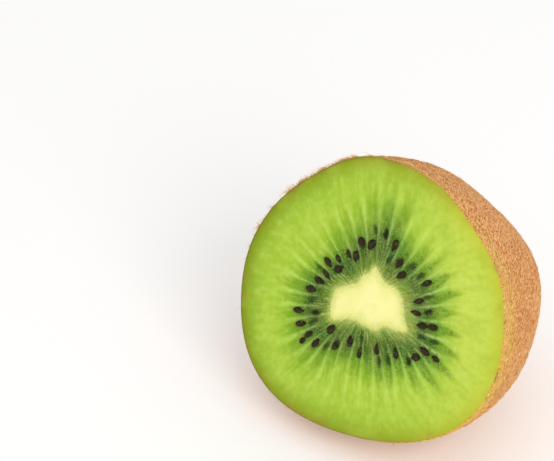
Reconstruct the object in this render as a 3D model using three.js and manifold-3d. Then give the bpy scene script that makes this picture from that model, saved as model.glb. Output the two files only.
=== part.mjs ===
// Half of a kiwi fruit, cut across its middle and lying on its skin with the cut face tilted up.
// The flesh is one solid with a pit for the pale core, which is a solid of its own.
// Millimetres, +Z up. The cut face looks towards -Y and up. The origin is on the surface that the
// half lies on, under the middle of its bounding box.

import * as THREE from "three";
import { mergeVertices } from "three/addons/utils/BufferGeometryUtils.js";
import Module from "manifold-3d";

// The half fruit: mean radius of the cut, depth from the cut to the end of the dome, and the two
// exponents that set how full the dome is along its length and at its end.
const CUT_RADIUS = 24.75;
const DOME_DEPTH = 34.95;
const DOME_FULLNESS = 2.35;
const DOME_ROUNDNESS = 2.1;

// The dome's end lies a little off the axis: how far, and towards which side of the cut.
const LEAN = 1.12;
const LEAN_ANGLE = 43;

// The cut isn't a true circle. Each lobe is a wave round the outline: how many bulges it has, their
// height as a share of the radius, and the angle of the first bulge in degrees.
const CUT_LOBES = [
  { bulges: 2, height: 0.035, angle: 12 },
  { bulges: 3, height: 0.029, angle: -18 },
  { bulges: 4, height: 0.005, angle: 50 },
  { bulges: 5, height: 0.009, angle: 26 },
  { bulges: 6, height: 0.005, angle: 41 },
];

// The rim flares out in places. Each flare is a swelling round the outline: its angle and width in
// degrees, and its height. Flares fade out at this depth below the cut.
const RIM_FLARES = [
  { angle: 350, width: 30, height: 0.89 },
  { angle: 30, width: 12, height: 0.39 },
  { angle: 73, width: 13, height: 0.69 },
  { angle: 114, width: 13, height: 0.28 },
  { angle: 183, width: 15, height: 0.25 },
];
const FLARE_DEPTH = 7;

// The dry scar at the end of the dome: a groove round a low crumpled button.
const SCAR_GROOVE_RADIUS = 3.9;
const SCAR_GROOVE_WIDTH = 0.9;
const SCAR_GROOVE_DEPTH = 0.7;
const SCAR_BUTTON_RADIUS = 2.6;
const SCAR_BUTTON_HEIGHT = 0.5;
const SCAR_EDGE = 6.5;

// The pale core: where it stands on the cut, its mean radius there, and how deep it runs.
const CORE_X = -0.15;
const CORE_Y = 0.35;
const CORE_RADIUS = 6.1;
const CORE_DEPTH = 29;
const CORE_FULLNESS = 1.9;

// The core's cornered outline at the cut, once round: angle in degrees, distance from its centre.
const CORE_OUTLINE = [
  [0, 7.7],
  [12, 7.2],
  [25, 7],
  [35, 6.7],
  [45, 6.3],
  [60, 5.2],
  [70, 5.2],
  [82, 5.6],
  [92, 6.4],
  [100, 6],
  [106, 5.3],
  [120, 4.8],
  [140, 4],
  [150, 4.3],
  [165, 5.1],
  [180, 6.7],
  [195, 7.3],
  [210, 7.8],
  [219, 8.1],
  [226, 7.7],
  [236, 5.4],
  [250, 4.4],
  [270, 4.2],
  [290, 4.6],
  [310, 5.3],
  [328, 5.5],
  [338, 7.4],
  [346, 9.1],
  [352, 8.6],
];
const CORE_GAP = 0.3;

// How the half lies: the cut face's tilt from upright, and the depth of the spot it is pressed
// flat by its own weight.
const FACE_TILT = 26;
const SEAT_DEPTH = 0.5;

// Facets: round the outline, along the dome, and across the scar.
const OUTLINE_FACETS = 72;
const DOME_RINGS = 20;
const SCAR_RINGS = 8;
const CORE_FACETS = 72;
const CORE_RINGS = 9;

const QUARTER_TURN = Math.PI / 2;
const HALF_TURN_DEGREES = 180;
const FULL_TURN_DEGREES = 360;
const MERGE_DISTANCE = 1e-4;

// A smooth bump: 1 at zero, falling off on both sides over the width.
function bell(value, width) {
  return Math.exp(-((value / width) ** 2));
}

// The share by which the dome stands out at an angle and a height, which is 0 at the cut and
// negative below it. It is 1 where the outline is at its mean radius.
function cutShareAt(angle, height) {
  const waves = CUT_LOBES.map((lobe) => {
    const first = THREE.MathUtils.degToRad(lobe.angle);
    return lobe.height * Math.cos(lobe.bulges * (angle - first));
  });
  const flares = RIM_FLARES.map((flare) => {
    const turned = THREE.MathUtils.radToDeg(angle) - flare.angle + HALF_TURN_DEGREES;
    const aside = THREE.MathUtils.euclideanModulo(turned, FULL_TURN_DEGREES) - HALF_TURN_DEGREES;
    return (flare.height / CUT_RADIUS) * bell(aside, flare.width) * bell(height, FLARE_DEPTH);
  });
  return [...waves, ...flares].reduce((sum, part) => sum + part, 1);
}

// One of the core outline's points by its number, which may run on past the last or below zero.
function outlinePoint(number) {
  const count = CORE_OUTLINE.length;
  const [angle, radius] = CORE_OUTLINE[THREE.MathUtils.euclideanModulo(number, count)];
  return { angle: angle + Math.floor(number / count) * FULL_TURN_DEGREES, radius };
}

// The outline's rise at a point, from its neighbours on both sides.
function outlineSlope(number) {
  const before = outlinePoint(number - 1);
  const after = outlinePoint(number + 1);
  return (after.radius - before.radius) / (after.angle - before.angle);
}

// The share by which the core stands out at an angle, on a smooth closed curve through its points.
function coreShareAt(angle) {
  const degrees = THREE.MathUtils.euclideanModulo(
    THREE.MathUtils.radToDeg(angle),
    FULL_TURN_DEGREES,
  );
  const number = CORE_OUTLINE.findLastIndex((point) => point[0] <= degrees);
  const from = outlinePoint(number);
  const to = outlinePoint(number + 1);
  const gap = to.angle - from.angle;
  const share = (degrees - from.angle) / gap;
  const rest = 1 - share;
  const radius =
    rest ** 2 * ((1 + 2 * share) * from.radius + share * gap * outlineSlope(number)) +
    share ** 2 * ((1 + 2 * rest) * to.radius - rest * gap * outlineSlope(number + 1));
  return radius / CORE_RADIUS;
}

// A lathe-turned solid that hangs along -Z from its flat end at z = 0. Its round section is given
// the uneven outline, and its centre line starts at (x, y) and leans over as the whole fruit does.
function unevenSolid(profile, facets, shareAt, x, y) {
  const solid = new THREE.LatheGeometry(profile, facets);
  solid.rotateX(QUARTER_TURN);
  const lean = THREE.MathUtils.degToRad(LEAN_ANGLE);
  const place = solid.getAttribute("position");
  for (let i = 0; i < place.count; i += 1) {
    const share = shareAt(Math.atan2(place.getY(i), place.getX(i)), place.getZ(i));
    const along = LEAN * (place.getZ(i) / DOME_DEPTH) ** 2;
    place.setX(i, place.getX(i) * share + x + along * Math.cos(lean));
    place.setY(i, place.getY(i) * share + y + along * Math.sin(lean));
  }
  return solid;
}

// How far the scar stands out of the dome at a distance from its axis.
function scarHeight(radius) {
  const groove = SCAR_GROOVE_DEPTH * bell(radius - SCAR_GROOVE_RADIUS, SCAR_GROOVE_WIDTH);
  const button = SCAR_BUTTON_HEIGHT * Math.exp(-((radius / SCAR_BUTTON_RADIUS) ** 4));
  return button - groove;
}

// The dome's depth below the cut at a distance from its axis.
function domeDepth(radius) {
  const inside = 1 - (radius / CUT_RADIUS) ** DOME_ROUNDNESS;
  return DOME_DEPTH * inside ** (1 / DOME_FULLNESS);
}

// The half's profile, from the end of the dome out to the cut's edge and in to its middle.
function domeProfile() {
  const profile = [];
  for (let ring = 0; ring < SCAR_RINGS; ring += 1) {
    const radius = (SCAR_EDGE * ring) / SCAR_RINGS;
    profile.push(new THREE.Vector2(radius, -domeDepth(radius) - scarHeight(radius)));
  }
  const firstTurn = Math.asin((SCAR_EDGE / CUT_RADIUS) ** (DOME_ROUNDNESS / 2));
  for (let ring = 0; ring <= DOME_RINGS; ring += 1) {
    const turn = THREE.MathUtils.lerp(firstTurn, QUARTER_TURN, ring / DOME_RINGS);
    const radius = CUT_RADIUS * Math.sin(turn) ** (2 / DOME_ROUNDNESS);
    const depth = ring < DOME_RINGS ? DOME_DEPTH * Math.cos(turn) ** (2 / DOME_FULLNESS) : 0;
    profile.push(new THREE.Vector2(radius, -depth));
  }
  profile.push(new THREE.Vector2(0, 0));
  return profile;
}

// The core's profile, from its blunt point to the cut, grown by a margin all round.
function coreProfile(margin) {
  const profile = [];
  for (let ring = 0; ring <= CORE_RINGS; ring += 1) {
    const turn = (QUARTER_TURN * ring) / CORE_RINGS;
    const radius = (CORE_RADIUS + margin) * Math.sin(turn);
    const depth = ring < CORE_RINGS ? Math.cos(turn) ** (2 / CORE_FULLNESS) : 0;
    profile.push(new THREE.Vector2(radius, -(CORE_DEPTH + margin) * depth));
  }
  profile.push(new THREE.Vector2(CORE_RADIUS + margin, margin));
  profile.push(new THREE.Vector2(0, margin));
  return profile;
}

const wasm = await Module();
wasm.setup();

// A closed three.js geometry as a solid that can be joined and cut.
function toSolid(geometry) {
  const bare = geometry.clone();
  bare.deleteAttribute("normal");
  bare.deleteAttribute("uv");
  const merged = mergeVertices(bare, MERGE_DISTANCE);
  const mesh = new wasm.Mesh({
    numProp: 3,
    vertProperties: merged.getAttribute("position").array,
    triVerts: new Uint32Array(merged.index.array),
  });
  return new wasm.Manifold(mesh);
}

function toGeometry(solid) {
  const { vertProperties, triVerts } = solid.getMesh();
  const geometry = new THREE.BufferGeometry();
  geometry.setAttribute("position", new THREE.BufferAttribute(vertProperties, 3));
  geometry.setIndex(new THREE.BufferAttribute(triVerts, 1));
  geometry.computeVertexNormals();
  return geometry;
}

// The box that a geometry fills once it is turned by a matrix.
function turnedBox(geometry, matrix) {
  const turned = geometry.clone().applyMatrix4(matrix);
  turned.computeBoundingBox();
  return turned.boundingBox;
}

// A block that takes away all that lies lower than the seat, once the fruit is turned as it lies.
function belowSeat(dome, turn) {
  const lowest = turnedBox(dome, turn).min.z;
  const side = 4 * CUT_RADIUS;
  const block = new THREE.BoxGeometry(side, side, side);
  block.translate(0, 0, lowest + SEAT_DEPTH - side / 2);
  return block.applyMatrix4(turn.clone().invert());
}

// The flesh under its thin skin, with the pit that the core fills.
function makeFlesh(turn) {
  const dome = unevenSolid(domeProfile(), OUTLINE_FACETS, cutShareAt, 0, 0);
  const pit = unevenSolid(coreProfile(CORE_GAP), CORE_FACETS, coreShareAt, CORE_X, CORE_Y);
  const solid = toSolid(dome).subtract(toSolid(pit)).subtract(toSolid(belowSeat(dome, turn)));
  const green = new THREE.MeshStandardMaterial({
    color: 0xa3c040,
    roughness: 0.35,
    metalness: 0,
  });
  const flesh = new THREE.Mesh(toGeometry(solid), green);
  flesh.name = "flesh";
  return flesh;
}

// The firm pale middle, which runs from the cut towards the dome's end.
function makeCore() {
  const plug = unevenSolid(coreProfile(0), CORE_FACETS, coreShareAt, CORE_X, CORE_Y);
  const cream = new THREE.MeshStandardMaterial({
    color: 0xf6f2ae,
    roughness: 0.45,
    metalness: 0,
  });
  const core = new THREE.Mesh(plug, cream);
  core.name = "core";
  return core;
}

const kiwiHalf = new THREE.Group();
kiwiHalf.rotation.x = QUARTER_TURN - THREE.MathUtils.degToRad(FACE_TILT);
kiwiHalf.updateMatrix();
const flesh = makeFlesh(kiwiHalf.matrix);
kiwiHalf.add(flesh, makeCore());

const box = turnedBox(flesh.geometry, kiwiHalf.matrix);
const middle = box.getCenter(new THREE.Vector3());
kiwiHalf.position.set(-middle.x, -middle.y, -box.min.z);

export default kiwiHalf;
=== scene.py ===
import math

import bpy
import numpy as np
from mathutils import Matrix, Vector, noise


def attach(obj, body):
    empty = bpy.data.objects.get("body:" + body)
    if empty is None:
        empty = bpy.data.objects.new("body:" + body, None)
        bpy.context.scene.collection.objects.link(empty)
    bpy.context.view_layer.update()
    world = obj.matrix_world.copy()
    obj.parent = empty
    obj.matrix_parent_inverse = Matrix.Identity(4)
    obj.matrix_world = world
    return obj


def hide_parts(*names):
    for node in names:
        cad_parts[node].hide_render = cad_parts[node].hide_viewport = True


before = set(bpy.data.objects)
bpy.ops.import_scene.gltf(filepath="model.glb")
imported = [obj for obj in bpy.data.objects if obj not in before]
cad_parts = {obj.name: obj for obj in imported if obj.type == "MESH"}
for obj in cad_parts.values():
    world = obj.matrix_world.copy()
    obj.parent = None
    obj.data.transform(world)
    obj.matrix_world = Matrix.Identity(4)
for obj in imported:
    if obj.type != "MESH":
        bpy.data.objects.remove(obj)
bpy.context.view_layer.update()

# Half of a kiwi fruit, lying on its fuzzy skin with the cut face tilted up. Metres, +Z up.
#
# The pieces are shaped in the fruit's own frame: the cut is its XY plane, the body hangs along -Z,
# X points right and Y up on the cut. fruit_place() then lays them where the CAD solids are.

MM = 0.001

# The half's driving sizes, the same as the CAD solids': the cut's mean radius, the dome's depth,
# the two exponents that set how full it is, and how far and which way its end lies off the axis.
CUT_RADIUS = 24.75 * MM
DOME_DEPTH = 34.95 * MM
DOME_FULLNESS = 2.35
DOME_ROUNDNESS = 2.1
LEAN = 1.12 * MM
LEAN_ANGLE = math.radians(43)

# Lobes make the cut's outline uneven: number of bulges, height as a share of the radius, and the
# angle of the first bulge in degrees.
CUT_LOBES = ((2, 0.035, 12), (3, 0.029, -18), (4, 0.005, 50), (5, 0.009, 26), (6, 0.005, 41))

# Where the rim flares out: angle and width in degrees, and height in mm. FLARE_DEPTH is how far
# below the cut the flares fade out.
RIM_FLARES = ((350, 30, 0.89), (30, 12, 0.39), (73, 13, 0.69), (114, 13, 0.28), (183, 15, 0.25))
FLARE_DEPTH = 7 * MM

# The pale core: its place on the cut, how deep it runs, how blunt its point is, and its cornered
# outline once round as angles in degrees and distances from its centre in mm.
CORE_X = -0.15 * MM
CORE_Y = 0.35 * MM
CORE_DEPTH = 29 * MM
CORE_FULLNESS = 1.9
CORE_OUTLINE = (
    (0, 7.7), (12, 7.2), (25, 7), (35, 6.7), (45, 6.3), (60, 5.2), (70, 5.2), (82, 5.6), (92, 6.4),
    (100, 6), (106, 5.3), (120, 4.8), (140, 4), (150, 4.3), (165, 5.1), (180, 6.7), (195, 7.3),
    (210, 7.8), (219, 8.1), (226, 7.7), (236, 5.4), (250, 4.4), (270, 4.2), (290, 4.6), (310, 5.3),
    (328, 5.5), (338, 7.4), (346, 9.1), (352, 8.6),
)

# Shallow hollows and swellings that the dome has grown: angle round it and turn down from its end
# in degrees, width in degrees, and height in mm. They fade out over the last turn to the rim.
SWELLINGS = (
    (75, 60, 16, -0.36), (32, 53, 16, 0.3), (-5, 58, 15, -0.25), (150, 50, 25, 0.3),
    (215, 58, 22, -0.35), (262, 40, 18, 0.25), (305, 48, 20, -0.3), (110, 30, 16, 0.25),
)
SWELLING_FADE = 0.3

# The dry scar at the dome's end: a groove round a low button. It counts from SCAR_START of the
# dome's depth on, and in full from SCAR_FULL. The flesh has one plain hollow under the scar, wider
# and deeper than the groove by SCAR_HOLLOW.
SCAR_GROOVE_RADIUS = 3.9 * MM
SCAR_GROOVE_WIDTH = 0.9 * MM
SCAR_GROOVE_DEPTH = 0.7 * MM
SCAR_BUTTON_RADIUS = 2.6 * MM
SCAR_BUTTON_HEIGHT = 0.5 * MM
SCAR_START = 0.6
SCAR_FULL = 0.8
SCAR_HOLLOW = 1.6

# How far the cut leans back from upright.
FACE_TILT = math.radians(26)

# The dried remains of the flower on the scar's button.
SCAR_LUMP_RADIUS = 2.7 * MM
SCAR_LUMP_HEIGHT = 1.3 * MM

# The peel, its fine bumps, its cut edge as distances in from its outside and below the cut in mm,
# and how far the flesh's edge rounds down to it.
SKIN_THICKNESS = 0.14 * MM
SKIN_BUMP = 0.045 * MM
SKIN_EDGE = ((0.02, 0.1), (0.06, 0.06), (0.1, 0.05), (0.14, 0.05))
EDGE_DROP = 0.05 * MM

# The locules are the seed-bearing cells that stand round the core like spokes, parted by thin pale
# walls. Each row starts with a wall: its angle at 8 mm from the core's centre, its angle at 16 mm,
# both in degrees, and how bright it shows. Then come how far out the cell's deep green reaches, in
# mm from the core's centre, and the cell's seeds: angle, distance from the core's centre in mm,
# turn away from the spoke's own direction in degrees, and kind.
WALL_NEAR = 8 * MM
WALL_FAR = 16 * MM
LOCULES = (
    (-8, -2.5, 1.0, 16.5, ((0, 11.0, 13, "plain"), (2, 12.9, 8, "plain"))),
    (3, 9, 0.8, 15.5, ((10, 9.4, -5, "slim"), (13, 11.8, 14, "veiled"))),
    (15, 20.5, 0.8, 16.5, ((22, 9.8, 10, "slim"), (25, 11.8, 0, "sunk"))),
    (24.5, 31, 1.0, 15.5, ((36.5, 11.9, 2, "plain"),)),
    (36, 42.5, 0.6, 15, ((44, 11.3, 3, "sunk"),)),
    (47.5, 53, 0.7, 14, ((55, 8.1, -10, "plain"), (55, 10.7, 0, "sunk"))),
    (59.5, 65, 0.5, 13.5, ((66.5, 9.1, 4, "plain"),)),
    (74, 76.5, 0.5, 17, ((79, 8.4, -12, "sunk"), (80, 11.2, 0, "plain"))),
    (86.5, 88.5, 0.6, 18.5, ((91, 12.2, 4, "veiled"),)),
    (96.5, 99.5, 0.4, 16, ((101, 12.4, 9, "sunk"), (104, 9.8, -36, "plump"))),
    (108, 110.5, 0.6, 14, ((115, 10.1, 12, "plump"),)),
    (119, 121, 0.3, 13.5, ((125, 8.0, -31, "plump"),)),
    (129.5, 130.5, 0.5, 12.5, ((133, 8.8, 0, "small"),)),
    (144, 141.5, 0.4, 12, ((147.5, 9.1, -15, "small"),)),
    (150.5, 151, 0.4, 12, ((155, 7.8, 65, "plump"), (159, 10.1, -14, "plain"))),
    (167, 161.5, 0.4, 12.5, ((168, 10.9, -11, "sunk"), (170.5, 9.3, -24, "slim"))),
    (177, 171.5, 0.5, 14, ((180, 10.1, -5, "plain"),)),
    (186.5, 183, 0.6, 15.5, ((190, 11.4, -6, "plain"),)),
    (195.5, 193.5, 0.7, 15, ((199, 11.1, -11, "sunk"),)),
    (206, 202.5, 0.6, 16, ((207, 14.0, -16, "plain"), (211, 10.5, -5, "veiled"))),
    (214, 212.5, 0.3, 16.5, ((216.5, 14.1, -8, "plain"), (218, 11.4, 0, "sunk"))),
    (222, 222.5, 0.6, 17, ((226, 13.3, 4, "slim"), (227.5, 14.9, 11, "small"))),
    (230, 232.5, 0.4, 17, ((233, 8.9, 5, "plump"), (234.5, 12.9, 11, "plain"))),
    (237.5, 241.5, 0.4, 15.5, ((242.5, 11.6, 0, "sunk"),)),
    (242, 252, 0.5, 14, ((248.5, 10.0, 3, "plain"),)),
    (252.5, 262, 0.4, 12.5, ((261, 7.8, 19, "plain"),)),
    (267.5, 272, 0.5, 12, ((277.5, 8.9, -4, "slim"), (278, 6.3, 0, "sunk"))),
    (281, 282, 0.4, 12.5, ()),
    (294.5, 292, 0.4, 13.5, ((300.5, 8.1, -14, "slim"), (300.5, 10.2, -7, "sunk"))),
    (304, 301.5, 0.4, 14, ((310.5, 10.4, -10, "sunk"),)),
    (317, 308, 0.4, 13.5, ((320.5, 10.0, -24, "slim"),)),
    (328, 317.5, 0.6, 16, ((327.5, 12.4, -20, "veiled"),)),
    (335.5, 328, 0.6, 17.5, ((334.5, 12.7, 61, "plump"),)),
    (341.5, 337.5, 0.5, 18.5, ((343, 13.4, -3, "plain"), (344, 15.7, 3, "small"))),
    (346, 347.5, 1.0, 17.5, ((351, 11.6, 6, "sunk"), (353, 14.1, 12, "sunk"))),
)

# Seeds by kind: length, width, and how far the middle lies below the cut.
SEED_KINDS = {
    "plump": (1.95 * MM, 1.4 * MM, 0.16 * MM),
    "plain": (2.0 * MM, 1.12 * MM, 0.14 * MM),
    "slim": (1.95 * MM, 0.9 * MM, 0.14 * MM),
    "small": (1.55 * MM, 0.95 * MM, 0.16 * MM),
}
# Seeds that lie under the flesh, so that only a shadow of them shows: length, width, and how dark
# the shadow is.
BURIED_KINDS = {
    "veiled": (1.8 * MM, 1.0 * MM, 1.0),
    "sunk": (1.8 * MM, 0.85 * MM, 0.8),
}
# Every seed's thickness, and as shares of its size how much it narrows towards its pointed end, how
# far that point is drawn out, and how deep its dents are.
SEED_THICKNESS = 0.72 * MM
SEED_TAPER = 0.35
SEED_POINT = 0.06
SEED_DENTS = 0.06

# Sides of the fruit, each as the angle of its middle in degrees and its width in radians: where the
# flesh is painted yellow as by the lamp's light shining through it, where the cells taper outwards,
# where painted light from above brightens the rim, where the skin is golden, where it is worn, where
# the rim is clean, and where tufts and fringe grow.
SUNNY_SIDE = (18, 0.82)
TAPERING_SIDE = (10, 1.1)
TOP_LIT_SIDE = (62, 0.5)
GOLDEN_SIDE = (-15, 0.85)
WORN_SIDE = (62, 0.45)
CLEAN_SIDE = (-88, 0.45)
TUFTED_SIDE = (138, 0.5)
FRINGED_SIDE = (0, 0.8)
FRINGED_SHOULDER = (125, 0.4)

# Fuzz that lies over the skin, by piece: how many hairs, their length and width, how many rings of
# faces each has below its tip, and the seed of the random draws. LAID_LIFT is how steeply they rise.
LAID_FUZZ = {
    "fuzz_down": (19500, 0.42 * MM, 0.075 * MM, 1, 5),
    "fuzz_bristles": (12000, 0.8 * MM, 0.065 * MM, 2, 6),
}
LAID_LIFT = 0.35
# Fuzz that stands out past the rim, by piece: how many clumps and hairs, the hairs' length, how far
# a clump's hairs fan out in radians, how steeply they rise, and the seed of the random draws.
RIM_FUZZ = {
    "fuzz_tufts": (110, 520, 1.5 * MM, 0.35, 0.7, 7),
    "fuzz_fringe": (2400, 2400, 0.5 * MM, 0.7, 0.3, 9),
}
RIM_HAIR_WIDTH = 0.07 * MM

# How hairs differ: the spread of their length and width, their sideways curl as a share of their
# length, how deep they are rooted, and how much thinner they are at the tip.
LENGTH_SPREAD = 0.3
WIDTH_SPREAD = 0.2
CURL_SPREAD = 0.45
ROOT_DEPTH = 0.03 * MM
TIP_THINNING = 0.8

# Facets of the fine meshes. The cut's rings crowd towards the core, and the skin's towards the rim,
# where the last ring of its outside ends SKIN_STOP radians short of the cut.
FACE_COLUMNS = 720
FACE_RINGS = 78
FACE_CROWDING = 1.15
PIT_RINGS = 9
FLESH_DOME_RINGS = 14
CORE_FACE_RINGS = 20
SKIN_COLUMNS = 600
SKIN_RINGS = 118
SKIN_CROWDING = 1.25
SKIN_STOP = 0.0015
LINING_RINGS = 12
SCAR_COLUMNS = 120
SCAR_RINGS = 60
SEED_SEGMENTS = 20
SEED_RINGS = 14

# The camera: how far round and above the half it stands, its lens on a 36 mm sensor, and how far
# the middle of the cut lies to the right of it, above it and ahead of it.
VIEW_AZIMUTH = math.radians(36.43)
VIEW_ELEVATION = math.radians(36)
LENS = 173.4
CUT_RIGHT = 15.3 * MM
CUT_UP = -12.44 * MM
CUT_AWAY = 449.95 * MM

# The half rests at zero. The table's top lies this far below it, and every hair ends above it.
FLOOR_GAP = 0.02 * MM

# Where fractal noise is sampled for each seed, so that no two patterns are alike.
NOISE_STEP = np.array([7.3, 3.1, 5.7])

QUARTER_TURN = math.pi / 2
FULL_TURN = 2 * math.pi


# ---------------- small tools


def linear(colour):
    """An sRGB hex colour, such as "A3C040", as the linear RGBA that shaders take."""
    parts = [int(colour[i:i + 2], 16) / 255 for i in (0, 2, 4)]
    return [p / 12.92 if p <= 0.04045 else ((p + 0.055) / 1.055) ** 2.4 for p in parts] + [1]


def smooth(value, low, high):
    """0 below low, 1 above high, and a smooth rise between them."""
    share = np.clip((value - low) / (high - low), 0, 1)
    return share * share * (3 - 2 * share)


def bell(value, width):
    """1 at zero, falling off on both sides over the width."""
    return np.exp(-((value / width) ** 2))


def turned_by(angle):
    """The unit vector at an angle, as two arrays."""
    return np.cos(angle), np.sin(angle)


def turned_off(angle, middle):
    """How far angles lie from a middle given in degrees, from minus to plus a half turn."""
    return (angle - math.radians(middle) + math.pi) % FULL_TURN - math.pi


def beside(angle, side):
    """1 at the middle of a side of the fruit, falling off round it."""
    middle, width = side
    return bell(turned_off(angle, middle), width)


def normalized(vectors):
    return vectors / np.linalg.norm(vectors, axis=-1, keepdims=True)


def coordinates(piece):
    flat = np.empty(len(piece.data.vertices) * 3)
    piece.data.vertices.foreach_get("co", flat)
    return flat.reshape(-1, 3)


def set_coordinates(piece, points):
    piece.data.vertices.foreach_set("co", points.ravel())
    piece.data.update()


def paint(piece, name, values):
    """Stores one number or one vector for each vertex, for the materials to read."""
    kind, field = ("FLOAT_VECTOR", "vector") if values.shape[-1:] == (3,) else ("FLOAT", "value")
    layer = piece.data.attributes.new(name, kind, "POINT")
    layer.data.foreach_set(field, values.astype(np.float32).ravel())


def rough(points, size, octaves, seed):
    """Fractal noise at points, about -1 to 1, with bumps of the given size."""
    places = points.reshape(-1, 3) / size + seed * NOISE_STEP
    values = [noise.fractal(place, 1.0, 2.0, octaves) for place in places]
    return np.array(values).reshape(points.shape[:-1])


# ---------------- the fruit's form


def cut_share(angle, depth=0):
    """The share by which the dome stands out at an angle and a depth below the cut, 1 where it is
    at its mean radius."""
    waves = [height * np.cos(n * (angle - math.radians(first))) for n, height, first in CUT_LOBES]
    flares = [height * MM / CUT_RADIUS * bell(np.degrees(turned_off(angle, middle)), width)
              for middle, width, height in RIM_FLARES]
    return 1 + sum(waves) + sum(flares) * bell(depth, FLARE_DEPTH)


def core_radius(angle):
    """The core's radius at angles, on a smooth closed curve through its outline's points."""
    marks, radii = np.array(CORE_OUTLINE, float).T
    before, after = np.roll(marks, 1), np.roll(marks, -1)
    before[0] -= 360
    after[-1] += 360
    slopes = (np.roll(radii, -1) - np.roll(radii, 1)) / (after - before)
    degrees = np.degrees(angle) % 360
    start = np.searchsorted(marks, degrees, "right") - 1
    stop = (start + 1) % len(marks)
    gap = (after - marks)[start]
    share = (degrees - marks[start]) / gap
    rest = 1 - share
    rising = (1 + 2 * share) * radii[start] + share * gap * slopes[start]
    falling = (1 + 2 * rest) * radii[stop] - rest * gap * slopes[stop]
    return MM * (rest**2 * rising + share**2 * falling)


def leaned(across, up, depth):
    """Points from their place off the centre line and their depth, which the line leans over."""
    lean = LEAN * (depth / DOME_DEPTH) ** 2
    x = across + lean * math.cos(LEAN_ANGLE)
    y = up + lean * math.sin(LEAN_ANGLE)
    return np.stack(np.broadcast_arrays(x, y, -depth), -1)


def scar_height(radius):
    """How far the scar stands out of the dome at a distance from its axis."""
    groove = SCAR_GROOVE_DEPTH * bell(radius - SCAR_GROOVE_RADIUS, SCAR_GROOVE_WIDTH)
    button = SCAR_BUTTON_HEIGHT * np.exp(-((radius / SCAR_BUTTON_RADIUS) ** 4))
    return button - groove


def scar_hollow(radius):
    """The wide hollow that the flesh has under the scar, deep enough to pass below its groove."""
    return -SCAR_HOLLOW * SCAR_GROOVE_DEPTH * bell(radius, SCAR_HOLLOW * SCAR_GROOVE_RADIUS)


def swelling(turn, angle):
    """How far the dome stands out of its even form."""
    total = 0
    for around, down, width, height in SWELLINGS:
        aside = (np.degrees(angle) - around + 180) % 360 - 180
        off_middle = np.hypot(aside * np.sin(turn), np.degrees(turn) - down)
        total = total + height * MM * bell(off_middle, width)
    return total * smooth(QUARTER_TURN - turn, 0, SWELLING_FADE)


def dome(turn, angle, inset, scar=scar_height):
    """Points on the dome, from its end at turn 0 to the cut at a quarter turn, moved in by inset.
    scar gives the height of the dome's end at a distance from its axis."""
    radius = CUT_RADIUS * np.sin(turn) ** (2 / DOME_ROUNDNESS)
    depth = DOME_DEPTH * np.maximum(np.cos(turn), 0) ** (2 / DOME_FULLNESS)
    out = DOME_ROUNDNESS / CUT_RADIUS * (radius / CUT_RADIUS) ** (DOME_ROUNDNESS - 1)
    down = DOME_FULLNESS / DOME_DEPTH * (depth / DOME_DEPTH) ** (DOME_FULLNESS - 1)
    steep = np.hypot(out, down)
    depth = depth + scar(radius) * smooth(depth / DOME_DEPTH, SCAR_START, SCAR_FULL)
    inset = inset - swelling(turn, angle)
    radius = radius - inset * out / steep
    depth = depth - inset * down / steep
    across, up = turned_by(angle)
    share = cut_share(angle, depth)
    return leaned(radius * share * across, radius * share * up, depth)


def core_side(turn, angle):
    """Points on the core's side, from its point at turn 0 to the cut at a quarter turn."""
    radius = core_radius(angle) * np.sin(turn)
    depth = CORE_DEPTH * np.maximum(np.cos(turn), 0) ** (2 / CORE_FULLNESS)
    across, up = turned_by(angle)
    return leaned(CORE_X + radius * across, CORE_Y + radius * up, depth)


def fruit_place():
    """The turn and the shift that lay the fruit's own frame where the CAD solids are."""
    turn = np.array(Matrix.Rotation(QUARTER_TURN - FACE_TILT, 3, "X"))
    points = coordinates(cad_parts["flesh"]) @ turn
    cut_height = points[:, 2].max()
    on_cut = np.unique(points[points[:, 2] > cut_height - 0.01 * MM, :2], axis=0)
    off_middle = np.hypot(*(on_cut - on_cut.mean(0)).T)
    rim = on_cut[off_middle > CUT_RADIUS / 2]
    angle = np.linspace(0, FULL_TURN, len(rim), endpoint=False)
    own_middle = CUT_RADIUS * np.mean(cut_share(angle) * turned_by(angle), 1)
    axis = rim.mean(0) - own_middle
    return turn, turn @ np.array([axis[0], axis[1], cut_height])


TURN, SHIFT = fruit_place()


def laid(points, lowest):
    """Points as the half lies. What would sink lower than the seat is pressed flat at lowest."""
    placed = points @ TURN.T + SHIFT
    placed[..., 2] = np.maximum(placed[..., 2], lowest)
    return placed


# ---------------- what shows on the cut

# The marks between which a place's spoke is drawn out.
SPOKE_START = 2
SPOKE_GREEN = 10

# The direction of the painted light that makes the rim yellow, in degrees.
SUN_DIRECTION = 12

# The radius of the ring that the fibres' noise is wound on: 2.5 degrees of it make one fibre.
FIBRES = 23

# How far the cut's waves, grain and walls stand up and its cells and sockets sink, in mm.
WAVES = 0.07
GRAIN = 0.02
WALL_RIDGE = 0.04
CELL_HOLLOW = 0.11
SOCKET_HOLLOW = 0.08

# The facts of the cut that the materials read.
PAINTED_FACTS = (
    "to_skin", "spoke", "cell", "wall", "shadow", "seed_rim_shade", "juicy", "fibres", "sunny", "tapering",
    "lit",
)


def walls_at(radius):
    """The locule walls' angles at distances from the core's centre. The first comes last again."""
    share = np.clip((radius - WALL_NEAR) / (WALL_FAR - WALL_NEAR), 0, 1)[..., None]
    near = np.radians([row[0] for row in LOCULES])
    far = np.radians([row[1] for row in LOCULES])
    angles = near + (far - near) * share
    return np.concatenate([angles, angles[..., :1] + FULL_TURN], -1)


def seed_list():
    """Every seed as its kind, its place on the cut and the direction of its pointed end."""
    for row in LOCULES:
        for angle, distance, twist, kind in row[4]:
            across, up = turned_by(math.radians(angle))
            place = (CORE_X + distance * MM * across, CORE_Y + distance * MM * up)
            yield kind, place, math.radians(angle + twist + 180)


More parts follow.
